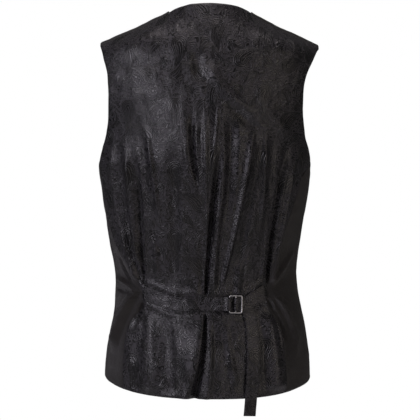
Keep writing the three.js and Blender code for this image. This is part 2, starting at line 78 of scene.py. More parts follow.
# The back above the underarm, from its middle out to the armhole's edge.
BACK_UPPER = table(
    "name at z edge_z y edge_x edge_y arc",
    ("low blade", 350, -200, -206, 116, 165, 32, 72),
    ("middle blade", 392, -158, -164, 116.5, 154, 50, 61),
    ("blade", 440, -112, -120, 113.5, 150.5, 57, 55),
    ("yoke", 496, -60, -76, 102, 153.5, 52, 52),
    ("collar", 548, -8, -46, 82, 164, 30, 58),
)
BACK_HEIGHTS = [row["at"] for row in RINGS + BACK_UPPER] + [BACK_TOP]

# Folds, with x and z where each starts, passes and ends. wide is the half width at the top and
# bottom, depth is out of the cloth, crisp the share of a sharp profile, in and out the shares of
# its length where it fades.
BACK_FOLDS = table(
    "name x1 z1 x2 z2 x3 z3 wide1 wide2 depth crisp in out",
    ("centre drop", -22, -168, -7.5, -285, 1, -411, 9, 3.6, -9, 0.45, 0.3, 0.03),
    ("centre slope", 8, -285, 7, -340, 6, -411, 10, 9, -2.6, 0.1, 0.4, 0.05),
    ("left of centre", 24, -118, 22.5, -195, 12, -252, 8, 4.5, -7, 0.5, 0.35, 0.25),
    ("left of centre lip", 34, -145, 32, -200, 26, -250, 9, 8, 2.2, 0.3, 0.35, 0.35),
    ("right of centre", -26, -225, -15.5, -310, -11, -404, 7, 7, 4.4, 0.4, 0.35, 0.08),
    ("centre ridge", 4, -105, 4, -190, 1, -300, 9, 4.5, 3.4, 0.4, 0.35, 0.35),
    ("blade hollow", -32, -112, -35, -190, -27, -300, 15, 9, -7, 0.25, 0.3, 0.35),
    ("right inner", -71, -135, -51, -262, -21, -402, 8, 5, 5.8, 0.6, 0.3, 0.12),
    ("right inner dip", -79, -160, -66, -262, -40, -385, 9, 8, -3.6, 0.3, 0.35, 0.35),
    ("right middle", -88, -142, -86, -215, -80, -330, 7, 6, 4.2, 0.5, 0.35, 0.4),
    ("right middle dip", -98, -160, -95, -240, -88, -330, 7, 6, -2.5, 0.3, 0.35, 0.4),
    ("right root", -124, -165, -105.5, -280, -93, -404, 9, 4, -9, 0.4, 0.3, 0.03),
    ("right rim", -136, -185, -120, -280, -101, -396, 8, 5, 5, 0.45, 0.3, 0.04),
    ("right root edge", -95, -230, -92, -290, -84, -392, 7, 5, 2.4, 0.5, 0.35, 0.1),
    ("left outer", 144, -150, 141, -265, 106, -392, 8, 5, 5.6, 0.5, 0.3, 0.05),
    ("left outer dip", 134, -165, 128, -275, 102, -396, 7, 5, -4.2, 0.4, 0.3, 0.05),
    ("left second", 126, -165, 117, -275, 103.5, -376, 8, 5, 5.4, 0.5, 0.3, 0.15),
    ("left root", 112, -190, 103, -310, 97, -402, 9, 5, -8, 0.5, 0.35, 0.03),
    ("left middle", 96, -146, 81, -235, 70, -318, 7, 6, 4.4, 0.55, 0.3, 0.35),
    ("left middle dip", 101, -150, 95, -220, 88, -290, 9, 8, -2.5, 0.3, 0.35, 0.4),
    ("left slant", 90, -296, 79, -325, 66, -356, 5, 6, -3.0, 0.4, 0.35, 0.4),
    ("left hollow", 56, -165, 50, -293, 54, -404, 15, 12, -4.2, 0, 0.35, 0.2),
    ("left low", 80, -305, 78, -350, 74, -396, 8, 7, 3.6, 0.4, 0.4, 0.3),
    ("left nib", 87, -358, 93, -376, 99, -398, 4, 4, 3.0, 0.4, 0.4, 0.15),
    ("right low", -52, -350, -49, -382, -47, -412, 8, 7, 3.0, 0.3, 0.5, 0.1),
    ("right break", -3, -48, -24, -96, -86, -141, 14, 12, 6.5, 0.2, 0.3, 0.4),
    ("right break dip", -28, -112, -50, -134, -84, -164, 13, 12, -4.6, 0.1, 0.35, 0.4),
    ("blade line", -14, -116, -12, -160, -6, -208, 4, 4, 2.2, 0.6, 0.3, 0.4),
    ("neck hollow", 20, -30, 16, -60, 14, -92, 13, 13, -4.4, 0, 0.4, 0.4),
    ("left break", 34, -52, 72, -90, 132, -128, 18, 20, 2.2, 0, 0.35, 0.35),
    ("right blade", -70, -108, -98, -136, -126, -176, 14, 12, 2.6, 0.1, 0.35, 0.35),
    ("vent", 2, -432, 5.5, -506, 21, -574, 2.6, 9, -10, 0.45, 0.08, 0.01),
    ("vent rim", 10, -442, 17, -510, 34, -574, 26, 15, 5.4, 0.15, 0.25, 0.01),
    ("vent right", -5, -440, -7, -505, 0, -574, 6, 9, 3.4, 0.3, 0.3, 0.01),
    ("left sweep", 108, -404, 131, -452, 150, -512, 7, 10, 12, 0.5, 0.12, 0.3),
    ("left sweep dip", 118, -402, 145, -444, 160, -490, 5, 8, -6, 0.3, 0.2, 0.3),
    ("left crumple", 106, -412, 124, -398, 150, -386, 4, 6, 7, 0.5, 0.15, 0.4),
    ("left crumple dip", 106, -418, 128, -411, 152, -404, 4, 5, -4, 0.4, 0.15, 0.4),
    ("left pucker", 108, -392, 122, -362, 133, -330, 4, 5, 5, 0.5, 0.2, 0.4),
    ("left pucker dip", 114, -398, 131, -370, 143, -340, 3, 5, -3.6, 0.4, 0.2, 0.4),
    ("left root hollow", 98, -421, 105, -444, 118, -468, 5, 8, -6.5, 0.5, 0.1, 0.5),
    ("left lip", 97, -430, 103, -446, 114, -460, 3, 3, 2.4, 0.3, 0.2, 0.4),
    ("left skirt hollow", 66, -436, 60, -492, 56, -562, 15, 18, -3.6, 0, 0.3, 0.1),
    ("left skirt", 86, -430, 88, -487, 84, -562, 11, 18, 3.6, 0, 0.3, 0.1),
    ("left skirt inner", 38, -432, 36, -470, 34, -520, 16, 18, 2.0, 0, 0.35, 0.4),
    ("left skirt dip", 104, -478, 108, -520, 110, -562, 11, 14, -2.4, 0, 0.4, 0.1),
    ("right skirt line", -28, -446, -37, -498, -48, -552, 7, 9, 2.6, 0.4, 0.3, 0.3),
    ("right skirt", -92, -434, -104, -490, -110, -560, 14, 22, 8, 0.2, 0.2, 0.1),
    ("right skirt hollow", -93, -414, -113, -452, -124, -490, 4, 6, -5, 0.4, 0.1, 0.3),
    ("right skirt outer", -100, -418, -113, -460, -120, -520, 4, 6, 4, 0.4, 0.2, 0.4),
    ("right pucker", -100, -400, -118, -372, -138, -340, 5, 7, 3.6, 0.4, 0.2, 0.4),
    ("right sweep", -104, -408, -130, -450, -146, -510, 6, 9, 4.6, 0.3, 0.15, 0.3),
    ("right skirt dip", -76, -450, -74, -505, -76, -560, 8, 12, -2.6, 0.2, 0.3, 0.1),
)
FRONT_FOLDS = table(
    "name x1 z1 x2 z2 x3 z3 wide1 wide2 depth crisp in out",
    ("left draw", 128, -150, 118, -270, 120, -380, 14, 10, 2.8, 0.3, 0.35, 0.3),
    ("left chest", 82, -190, 96, -290, 118, -392, 12, 9, -2.4, 0.3, 0.4, 0.3),
    ("left waist", 44, -300, 74, -350, 112, -405, 10, 8, 2.2, 0.4, 0.4, 0.3),
    ("left skirt", 96, -430, 88, -490, 84, -556, 12, 16, 2.4, 0.2, 0.35, 0.2),
    ("right draw", -130, -150, -120, -270, -121, -380, 14, 10, 2.8, 0.3, 0.35, 0.3),
    ("right chest", -84, -200, -98, -290, -118, -392, 12, 9, -2.2, 0.3, 0.4, 0.3),
    ("right waist", -40, -320, -72, -362, -112, -410, 10, 8, 2, 0.4, 0.4, 0.3),
    ("right skirt", -100, -432, -92, -490, -86, -556, 12, 16, 2.6, 0.2, 0.35, 0.2),
)


def lerp(a, b, s):
    return a + (b - a) * s


def smooth(a, b, x):
    s = np.clip((x - a) / (b - a), 0, 1)
    return s * s * (3 - 2 * s)


def lean(z):
    """How far the worn garment leans sideways at a height. Its skirt and its neck lean the other way."""
    return lerp(lerp(-2.8, 4.2, smooth(-460, -330, z)), -0.8, smooth(-90, -20, z))


def belt_height(x):
    """The belt's middle line, which rises to its end at each side."""
    return BELT_Z + 12.6 * smooth(47, 97, x) + 19 * smooth(56, 93, -x)


def fold_depth(folds, x, z):
    """How far all the folds of a table move the cloth out at places."""
    total = np.zeros_like(x)
    for fold in folds:
        tall = fold["z1"] - fold["z3"]
        s = (fold["z1"] - z) / tall
        middle = (fold["z1"] - fold["z2"]) / tall
        bend = (fold["x2"] - lerp(fold["x1"], fold["x3"], middle)) / (middle * (1 - middle))
        centre = lerp(fold["x1"], fold["x3"], s) + bend * s * (1 - s)
        slope = (fold["x3"] - fold["x1"] + bend * (1 - 2 * s)) / tall
        wide = lerp(fold["wide1"], fold["wide2"], np.clip(s, 0, 1))
        across = np.clip(np.abs(x - centre) / np.hypot(1, slope) / wide, 0, 1)
        profile = lerp((1 - across**2) ** 2, (1 - across) ** 1.6, fold["crisp"])
        fade = smooth(0, fold["in"], s) * smooth(0, fold["out"], 1 - s)
        total += fold["depth"] * profile * fade
    return total


def crumple(x, z):
    """Small uneven waves, longer down the cloth than across it."""
    waves = [(40, 62, 1.8), (15, 24, 0.85), (6, 9, 0.3)]
    return np.array([
        sum(high * noise.noise((a / wide, b / tall, wide)) for wide, tall, high in waves)
        for a, b in zip(x, z)
    ])


def relief(x, y, z):
    """How far the cloth stands out of its plain form. It lies flat under the belt and puffs beside it."""
    from_belt = np.abs(z - belt_height(x))
    beyond = smooth(*BELT_END, np.abs(x))
    held = np.maximum(smooth(10.5, 17, from_belt), beyond)
    puff = PUFF["high"] * np.exp(-((from_belt - PUFF["at"]) / PUFF["wide"]) ** 2) * (1 - beyond)
    back = (fold_depth(BACK_FOLDS, x, z) * held + puff) * smooth(0, 30, y)
    front = fold_depth(FRONT_FOLDS, x, z) * smooth(0, 30, -y)
    loose = lerp(0.6, np.maximum(smooth(9, 20, from_belt), 0.8 * beyond), smooth(-20, 20, y))
    return np.where(y < 0, front, back) + crumple(x, z) * loose


def loft(row_at, heights, u, t):
    """Points at shares u and height t of a smooth surface through rows."""
    last = len(heights) - 1

    def slope(i):
        low = max(i - 1, 0)
        high = i if i in (last, len(RINGS) - 1) else i + 1
        return (row_at(high, u) - row_at(low, u)) / (heights[high] - heights[low])

    start = (row_at(1, u) - row_at(0, u)) / (heights[1] - heights[0])
    if t <= heights[0]:
        return row_at(0, u) + start * (t - heights[0])
    i = 0
    while i < last - 1 and heights[i + 1] <= t:
        i += 1
    h = heights[i + 1] - heights[i]
    s = (t - heights[i]) / h
    start = start if i == 0 else slope(i)
    return (
        row_at(i, u) * (2 * s**3 - 3 * s**2 + 1)
        + start * (s**3 - 2 * s**2 + s) * h
        + row_at(i + 1, u) * (3 * s**2 - 2 * s**3)
        + slope(i + 1) * (s**3 - s**2) * h
    )


def points(x, y, z):
    """One array of points from three of coordinates, or numbers."""
    return np.stack(np.broadcast_arrays(x, y, z), axis=-1).astype(float)


def shoulder_seam(s):
    """Points at shares of the seam from the neck to the shoulder's tip."""
    return points(
        lerp(NECK_HALF, SHOULDER_TIP[0], s),
        lerp(SHOULDER_NECK[0], SHOULDER_TIP[1], s),
        lerp(SHOULDER_NECK[1], SHOULDER_TIP[2], np.maximum(s, 0) ** 0.84),
    )


def back_row(side, i, u):
    """Points at shares u of row i: a ring, a row above the underarm, or the neck and shoulder."""
    if i < len(RINGS):
        ring = RINGS[i]
        angle = u * math.asin((ring["left"] if side > 0 else ring["right"]) / ring["half"])
        along = np.cos(angle)
        low = ring["z"] - ring["dip"] * (1 - np.sin(angle) ** 4)
        return points(ring["half"] * np.sin(angle), ring["back"] * along, low)
    if i < len(RINGS) + len(BACK_UPPER):
        row = BACK_UPPER[i - len(RINGS)]
        arc = math.radians(row["arc"])
        reach = (np.cos(u * arc) - math.cos(arc)) / (1 - math.cos(arc))
        return points(
            row["edge_x"] * np.sin(u * arc) / math.sin(arc),
            lerp(row["edge_y"], row["y"], reach),
            lerp(row["z"], row["edge_z"], u * u),
        )
    quarter = np.clip(u / NECK_SHARE, 0, 1) * math.pi / 2
    neck_x = NECK_HALF * np.sin(quarter)
    neck = points(
        neck_x,
        lerp(SHOULDER_NECK[0], NECK_BACK, np.cos(quarter)),
        lerp(NECK_TOP, SHOULDER_NECK[1], (neck_x / NECK_HALF) ** 2.9),
    )
    seam = shoulder_seam((u - NECK_SHARE) / (1 - NECK_SHARE))
    return np.where((u >= NECK_SHARE)[:, None], seam, neck)


def cloth_place(row_at, heights, side, u, t):
    """Points of the plain form and its ways out there."""
    def at(shares, height):
        return loft(lambda i, share: row_at(side, i, share), heights, shares, height)

    point = at(u, t)
    along_u = at(u + 0.002, t) - at(u - 0.002, t)
    along_t = at(u, min(t + 0.5, heights[-1])) - at(u, t - 0.5)
    along_u /= np.linalg.norm(along_u, axis=1, keepdims=True)
    along_t /= np.linalg.norm(along_t, axis=1, keepdims=True)
    out = np.cross(along_u, along_t)
    out /= np.linalg.norm(out, axis=1, keepdims=True)
    if row_at is back_row:
        out = -out
    for places in (point, out):
        places[:, 0] *= side
    return point, out


UNDERARM = RINGS[-1]["at"]
BODY_ROWS = list(np.linspace(0, UNDERARM, 151))


def rows_to(top, count):
    """Heights of the grid's rows. Up to the underarm they are the same on backs and fronts."""
    return np.array(BODY_ROWS + list(np.linspace(UNDERARM, top, count + 1)[1:]))


# The way out that back and front share at the shoulder seam, so that they meet there.
SHOULDER_OUT = np.array([0, 0.35, 0.94])


def new_piece(name, bm, *materials):
    """A piece of the scene from a finished bmesh."""
    mesh = bpy.data.meshes.new(name)
    bm.to_mesh(mesh)
    bm.free()
    for material in materials:
        mesh.materials.append(material)
    piece = bpy.data.objects.new(name, mesh)
    bpy.context.scene.collection.objects.link(piece)
    return piece


def cloth_panel(name, row_at, heights, side, columns, rows_at_t, lift, wall, materials):
    """A sheet from a grid laid on the plain form and moved out by its folds. UVs are flat metres."""
    rows = len(rows_at_t) - 1
    bm = bmesh.new()
    bmesh.ops.create_grid(bm, x_segments=columns, y_segments=rows, size=0.5)
    for edge in bm.edges:
        edge.smooth = not edge.is_boundary
    panel = new_piece(name, bm, *materials)
    mesh = panel.data
    count = len(mesh.vertices)
    grid = np.empty(count * 3)
    mesh.vertices.foreach_get("co", grid)
    grid = grid.reshape(-1, 3)
    columns_at = np.rint((grid[:, 0] + 0.5) * columns).astype(int)
    rows_at = np.rint((grid[:, 1] + 0.5) * rows).astype(int)
    u = np.linspace(0, 1, columns + 1)
    places = np.empty((rows + 1, columns + 1, 3))
    flat = np.empty((rows + 1, columns + 1, 2))
    for j in range(rows + 1):
        t = rows_at_t[j]
        point, out = cloth_place(row_at, heights, side, u, t)
        steps = np.linalg.norm(np.diff(point, axis=0), axis=1)
        across = np.concatenate([[0], np.cumsum(steps)])
        flat[j] = np.stack([across, np.full(columns + 1, t)], axis=1)
        x = point[:, 0] + lean(point[:, 2])
        high = relief(x, point[:, 1], point[:, 2]) + lift(x, point[:, 1])
        high += edge_roll(row_at, across, u, t, heights[-1])
        at_seam = smooth(0.4, 0.46, u) if row_at is back_row else np.ones_like(u)
        shared = smooth(heights[-1] - 12, heights[-1], t) * at_seam
        out = lerp(out, SHOULDER_OUT, shared[:, None])
        point += out * high[:, None]
        point[:, 0] += lean(point[:, 2])
        places[j] = point
    mesh.vertices.foreach_set("co", (places[rows_at, columns_at] * MM).ravel())
    corner_of = np.empty(len(mesh.loops), dtype=int)
    mesh.loops.foreach_get("vertex_index", corner_of)
    flat_uv = flat[rows_at, columns_at][corner_of] * MM
    mesh.uv_layers.new(name="UVMap").data.foreach_set("uv", flat_uv.ravel())
    if (side > 0) == (row_at is back_row):
        mesh.flip_normals()
    mesh.shade_smooth()
    thickness = panel.modifiers.new("wall", "SOLIDIFY")
    thickness.thickness = wall * MM
    thickness.offset = -1
    thickness.material_offset = 1
    return panel


def edge_roll(row_at, across, u, t, tall):
    """How far the edges sink: seams in a groove, and free edges rounded where the cloth turns under."""
    def groove(gap):
        return -0.35 * np.exp(-((gap / 1.2) ** 2))

    def roll(gap):
        return -1.0 * (1 - smooth(0, 2.2, gap))

    is_back = row_at is back_row
    first = groove(across) if is_back else roll(across)
    gap = across[-1] - across
    last = groove(gap) if t <= UNDERARM else roll(gap)
    bottom = roll(np.full_like(across, t))
    up = np.full_like(across, tall - t)
    top = np.where(is_back & (u < NECK_SHARE), roll(up), groove(up))
    return np.minimum(np.minimum(first, last), np.minimum(bottom, top))


# Satin jacquard
# The cloth of the back and belt is a black satin with a paisley woven in its own colour. The figures
# show because their threads lie the other way and shine differently. Its UVs are flat metres.
def maths(tree, operation, *values):
    """The result of a Math node on numbers and sockets."""
    node = tree.nodes.new("ShaderNodeMath")
    node.operation = operation
    for value, socket in zip(values, node.inputs):
        if isinstance(value, (int, float)):
            socket.default_value = value
        else:
            tree.links.new(value, socket)
    return node.outputs[0]


def all_of(tree, operation, values):
    """One Math operation over a list of sockets."""
    total = values[0]
    for value in values[1:]:
        total = maths(tree, operation, total, value)
    return total


def band(tree, value, centre, half):
    """One inside a band about a centre, with soft sides."""
    gap = maths(tree, "ABSOLUTE", maths(tree, "SUBTRACT", value, centre))
    node = tree.nodes.new("ShaderNodeMapRange")
    node.interpolation_type = "SMOOTHSTEP"
    tree.links.new(gap, node.inputs["Value"])
    for name, number in (("From Min", half * 0.6), ("From Max", half * 1.4), ("To Min", 1), ("To Max", 0)):
        node.inputs[name].default_value = number
    return node.outputs["Result"]


REPEAT = (0.078, 0.098)


def local_place(tree, x, y, motif):
    """Coordinates about a motif, turned its way, in its own sizes, the same in each repeat."""
    offsets = []
    for value, size, centre in ((x, REPEAT[0], motif["x"]), (y, REPEAT[1], motif["y"])):
        cell = maths(tree, "DIVIDE", value, size)
        wrapped = maths(tree, "FRACT", maths(tree, "ADD", cell, 0.5 - centre))
        from_centre = maths(tree, "SUBTRACT", wrapped, 0.5)
        offsets.append(maths(tree, "MULTIPLY", from_centre, size / motif["size"]))
    a, b = offsets
    angle = math.radians(motif["turn"])
    cos, sin = math.cos(angle), math.sin(angle)
    p = maths(tree, "ADD", maths(tree, "MULTIPLY", a, cos), maths(tree, "MULTIPLY", b, sin))
    q = maths(tree, "SUBTRACT", maths(tree, "MULTIPLY", b, cos), maths(tree, "MULTIPLY", a, sin))
    return p, q


# Drops in one repeat. x and y are shares of it, hook bends the tip, which ends at tip, lines are
# the levels of its outlines from the rim in, and fringe is the number of beads round it.
MOTIFS = table(
    "x y size turn hook tip lines fringe",
    (0.26, 0.24, 0.022, -28, 0.42, 1.55, (1.0, 0.78, 0.5, 0.26), 22),
    (0.76, 0.74, 0.022, 152, -0.42, 1.55, (1.0, 0.78, 0.5, 0.26), 22),
    (0.80, 0.22, 0.0125, 62, 0.5, 1.7, (1.0, 0.62), 14),
    (0.24, 0.76, 0.0125, 236, 0.5, 1.7, (1.0, 0.62), 14),
    (0.52, 0.50, 0.0085, 15, 0.6, 1.9, (1.0, 0.45), 0),
    (0.02, 0.50, 0.0085, 200, -0.6, 1.9, (1.0, 0.45), 0),
    (0.53, 0.02, 0.0100, 100, -0.5, 1.7, (1.0, 0.5), 12),
)


def teardrop(tree, x, y, motif):
    """A bent drop. The field is one on its outline and falls to nothing at its heart."""
    p, q = local_place(tree, x, y, motif)
    above = maths(tree, "MAXIMUM", q, 0)
    bend = maths(tree, "MULTIPLY", maths(tree, "MULTIPLY", above, above), motif["hook"])
    bent = maths(tree, "SUBTRACT", p, bend)
    below = maths(tree, "MINIMUM", q, 0)
    share = maths(tree, "MINIMUM", maths(tree, "DIVIDE", above, motif["tip"]), 1)
    taper = maths(tree, "MAXIMUM", maths(tree, "SUBTRACT", 1, maths(tree, "MULTIPLY", share, share)), 0.02)
    radius = maths(tree, "SQRT", maths(tree, "ADD", maths(tree, "MULTIPLY", bent, bent),
                                       maths(tree, "MULTIPLY", below, below)))
    field = maths(tree, "MULTIPLY", maths(tree, "DIVIDE", radius, taper), 2)
    angle = maths(tree, "ARCTAN2", bent, q)
    lines = [band(tree, field, level, 0.0021 / motif["size"]) for level in motif["lines"]]
    if motif["fringe"]:
        turns = maths(tree, "MULTIPLY", angle, motif["fringe"])
        beads = maths(tree, "GREATER_THAN", maths(tree, "SINE", turns), 0.1)
        lines.append(maths(tree, "MULTIPLY", beads, band(tree, field, 1.24, 0.07)))
        lines.append(maths(tree, "MULTIPLY", beads, band(tree, field, 0.64, 0.07)))
    inside = maths(tree, "LESS_THAN", field, 1.35)
    short = maths(tree, "LESS_THAN", q, motif["tip"] * 0.99)
    return maths(tree, "MULTIPLY", all_of(tree, "MAXIMUM", lines), short), inside, field


def paisley(tree, x, y):
    """How strongly the figure shows at a place: drops with beads and hearts, small scrolls and seeds."""
    drawn, covered, hearts = [], [], []
    for motif in MOTIFS:
        lines, inside, field = teardrop(tree, x, y, motif)
        drawn.append(lines)
        covered.append(inside)
        hearts.append(band(tree, field, 0.12, 0.1))
    combined = tree.nodes.new("ShaderNodeCombineXYZ")
    tree.links.new(x, combined.inputs["X"])
    tree.links.new(y, combined.inputs["Y"])
    spot = combined.outputs["Vector"]
    vines = texture(tree, "Noise", spot, 80, detail=0.6)
    vines.noise_dimensions = "2D"
    level = maths(tree, "FRACT", maths(tree, "MULTIPLY", vines.outputs["Fac"], 6))
    scrolls = band(tree, level, 0.5, 0.2)
    seeds = texture(tree, "Voronoi", spot, 230)
    seeds.voronoi_dimensions = "2D"
    dots = band(tree, seeds.outputs["Distance"], 0.3, 0.14)
    free = maths(tree, "SUBTRACT", 1, all_of(tree, "MAXIMUM", covered))
    patches = texture(tree, "Noise", spot, 34)
    patches.noise_dimensions = "2D"
    dotted = maths(tree, "GREATER_THAN", patches.outputs["Fac"], 0.52)
    plain = maths(tree, "SUBTRACT", 1, dotted)
    scrolled = maths(tree, "MULTIPLY", scrolls, plain)
    seeded = maths(tree, "MULTIPLY", dots, dotted)
    filler = maths(tree, "ADD", scrolled, seeded)
    return all_of(tree, "MAXIMUM", drawn + hearts + [maths(tree, "MULTIPLY", filler, free)])


def mixed(tree, share, low, high):
    """A number between low and high by a share."""
    node = tree.nodes.new("ShaderNodeMapRange")
    tree.links.new(share, node.inputs["Value"])
    node.inputs["To Min"].default_value = low
    node.inputs["To Max"].default_value = high
    return node.outputs["Result"]


def new_material(name):
    material = bpy.data.materials.new(name)
    material.use_nodes = True
    tree = material.node_tree
    return material, tree, tree.nodes["Principled BSDF"]


def texture(tree, kind, where, scale, **numbers):
    """A texture on coordinates. Its numbers are named as its sockets are, in small letters."""
    node = tree.nodes.new("ShaderNodeTex" + kind)
    tree.links.new(where, node.inputs["Vector"])
    node.inputs["Scale"].default_value = scale
    for name, number in numbers.items():
        node.inputs[name.replace("_", " ").title()].default_value = number
    return node


def dye(tree, shader, share, dark, light):
    """Colours the surface between dark and light by a share."""
    colour = tree.nodes.new("ShaderNodeMix")
    colour.data_type = "RGBA"
    tree.links.new(share, colour.inputs["Factor"])
    colour.inputs["A"].default_value = (*dark, 1)
    colour.inputs["B"].default_value = (*light, 1)
    tree.links.new(colour.outputs["Result"], shader.inputs["Base Color"])


def emboss(tree, shader, height, strength, rise):
    """Raises the surface by a height, of which one is rise metres."""
    bump = tree.nodes.new("ShaderNodeBump")
    bump.inputs["Strength"].default_value = strength
    bump.inputs["Distance"].default_value = rise
    tree.links.new(height, bump.inputs["Height"])
    tree.links.new(bump.outputs["Normal"], shader.inputs["Normal"])


def cloth_coordinates(tree, shift):
    """The cloth's own flat coordinates, moved by a shift: as a vector and as x and y."""
    where = tree.nodes.new("ShaderNodeUVMap")
    where.uv_map = "UVMap"
    mapping = tree.nodes.new("ShaderNodeMapping")
    mapping.inputs["Location"].default_value = (*shift, 0)
    tree.links.new(where.outputs["UV"], mapping.inputs["Vector"])
    split = tree.nodes.new("ShaderNodeSeparateXYZ")
    tree.links.new(mapping.outputs["Vector"], split.inputs["Vector"])
    return mapping.outputs["Vector"], split.outputs["X"], split.outputs["Y"]


def stitches(tree, across, along, gap, pitch):
    """One on a row of stitches at a distance from the cloth's middle line or edge."""
    row = band(tree, maths(tree, "ABSOLUTE", across), gap, 0.00035)
    share = maths(tree, "FRACT", maths(tree, "DIVIDE", along, pitch))
    return maths(tree, "MULTIPLY", row, maths(tree, "LESS_THAN", share, 0.68))


def satin_material(name, shift, gloss, shine, rise, stitch_gap=None):
    """gloss is the roughness of the ground and of the figure, shine the strength of reflections
    and rise the height of the weave."""
    material, tree, shader = new_material(name)
    where, x, y = cloth_coordinates(tree, shift)
    figure = paisley(tree, x, y)
    threads = texture(tree, "Wave", where, 700, distortion=1.5)
    threads.bands_direction = "DIAGONAL"
    slubs = texture(tree, "Noise", where, 330, detail=2)
    tint = texture(tree, "Noise", where, 30, detail=3)
    shade = maths(tree, "MULTIPLY", mixed(tree, slubs.outputs["Fac"], 0.5, 1.1),
                  mixed(tree, tint.outputs["Fac"], 0.75, 1.25))
    ground = maths(tree, "MULTIPLY", maths(tree, "SUBTRACT", 1, figure), shade)
    dye(tree, shader, ground, (0.0032, 0.0028, 0.0038), (0.035, 0.031, 0.040))
    tree.links.new(mixed(tree, figure, *gloss), shader.inputs["Roughness"])
    fine = maths(tree, "ADD", maths(tree, "MULTIPLY", threads.outputs["Fac"], 0.15),
                 maths(tree, "MULTIPLY", slubs.outputs["Fac"], 1.15))
    height = maths(tree, "ADD", figure, fine)
    if stitch_gap:
        sewn = stitches(tree, maths(tree, "SUBTRACT", y, shift[1]), x, stitch_gap, 0.0026)
        height = maths(tree, "SUBTRACT", height, maths(tree, "MULTIPLY", sewn, 2.0))
    emboss(tree, shader, height, 1.0, rise)
    shader.inputs["Specular IOR Level"].default_value = shine
    shader.inputs["Anisotropic"].default_value = 0.35
    shader.inputs["Sheen Weight"].default_value = 0.05
    shader.inputs["Sheen Roughness"].default_value = 0.4
    return material


def lining_material():
    """The inside of back and fronts: a plain black lining with a fine rib."""
    material, tree, shader = new_material("lining")
    where = cloth_coordinates(tree, (0, 0))[0]
    threads = texture(tree, "Wave", where, 600)
    tree.links.new(mixed(tree, threads.outputs["Fac"], 0.38, 0.5), shader.inputs["Roughness"])
    shader.inputs["Base Color"].default_value = (0.013, 0.012, 0.013, 1)
    emboss(tree, shader, threads.outputs["Fac"], 0.2, 0.0001)
    return material


def no_lift(x, y):
    return 0


lining = lining_material()
for node, side, shift in (("back_left", 1, (0.013, 0.031)), ("back_right", -1, (0.048, 0.005))):
    satin = satin_material("satin_" + node, shift, (0.44, 0.25), 0.9, 0.00035)
    rows = rows_to(BACK_TOP, BACK_TOP_ROWS)
    panel = cloth_panel(
        node + "_satin", back_row, BACK_HEIGHTS, side, BACK_COLUMNS, rows,
        no_lift, SATIN_WALL, (satin, lining),
    )
    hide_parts(node)
    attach(panel, "root")

# Fronts
# Plain black-brown wool suiting with a lining, each cut in one piece from the centre front round to
# the side seam at the back. The left one laps over the right, and both pass over the shoulders.
HEM_POINT = {"x": 42, "drop": 50, "edge_drop": 24}
LAP_LIFT = 2.7
WOOL_WALL = 1.7
FRONT_COLUMNS = 150
FRONT_TOP_ROWS = 110
FRONT_TOP = 610
# The row just above the underarm, whose far end is the bottom of the armhole.
SIDE_TOP = {"at": 345, "edge": 8, "z": -213, "arm_angle": 99, "arm_z": -209}
# Rows above it, each from the neck's edge to the armhole's.
FRONT_UPPER = table(
    "name at neck_x neck_y neck_z arm_x arm_y arm_z",
    ("chest", 372, 16, -121, -180, 163, -26, -197),
    ("upper chest", 425, 31, -113, -128, 144, -50, -152),
    ("collarbone", 480, 44, -86, -76, 134, -52, -102),
    ("low shoulder", 540, 56, -42, -20, 150, -36, -57),
)
FRONT_HEIGHTS = [row["at"] for row in RINGS + [SIDE_TOP] + FRONT_UPPER] + [BACK_TOP, FRONT_TOP]


def hem_drop(x):
    """The hem falls to a point beside the centre front."""
    point_x, drop, half = HEM_POINT["x"], HEM_POINT["drop"], RINGS[0]["half"]
    towards_edge = lerp(HEM_POINT["edge_drop"], drop, (x + LAP) / (point_x + LAP))
    rest = np.maximum(half - x, 0) / (half - point_x)
    return np.where(x < point_x, towards_edge, drop * rest**1.3)


def round_body(half, front, back, angle):
    """Points round an oval, with the angle counted from the centre front."""
    depth = np.where(angle < math.pi / 2, front, back)
    return points(half * np.sin(angle), -depth * np.cos(angle), 0)


def front_row(side, i, u):
    """Points at shares u of row i: a ring, the side's top, a row above it, or the shoulder."""
    if i < len(RINGS):
        ring = RINGS[i]
        seam = math.pi - math.asin((ring["left"] if side > 0 else ring["right"]) / ring["half"])
        angle = lerp(math.asin(ring["edge"] / ring["half"]), seam, u)
        point = round_body(ring["half"], ring["front"], ring["back"], angle)
        behind = ring["dip"] * (1 - np.sin(angle) ** 4)
        before = hem_drop(point[:, 0]) if i == 0 else 0
        point[:, 2] = ring["z"] - np.where(point[:, 1] > 0, behind, before)
        return point
    if i == len(RINGS):
        ring = RINGS[-1]
        angle = lerp(math.asin(SIDE_TOP["edge"] / ring["half"]), math.radians(SIDE_TOP["arm_angle"]), u)
        point = round_body(ring["half"], ring["front"], ring["back"], angle)
        point[:, 2] = lerp(SIDE_TOP["z"], SIDE_TOP["arm_z"], u * u)
        return point
    if i <= len(RINGS) + len(FRONT_UPPER):
        row = FRONT_UPPER[i - len(RINGS) - 1]
        squares = row["neck_x"] ** 2 * row["arm_y"] ** 2 - row["arm_x"] ** 2 * row["neck_y"] ** 2
        half = math.sqrt(squares / (row["arm_y"] ** 2 - row["neck_y"] ** 2))
        front = math.sqrt(squares / (row["neck_x"] ** 2 - row["arm_x"] ** 2))
        angle = lerp(math.asin(row["neck_x"] / half), math.asin(row["arm_x"] / half), u)
        point = round_body(half, front, 0, angle)
        point[:, 2] = lerp(row["neck_z"], row["arm_z"], u * u)
        return point
    seam = shoulder_seam(u)
    if i == len(FRONT_HEIGHTS) - 1:
        return seam
    return seam + points(0, SHOULDER_ROLL["y"], SHOULDER_ROLL["z"] * lerp(0.5, 1, smooth(0, 0.2, u)))


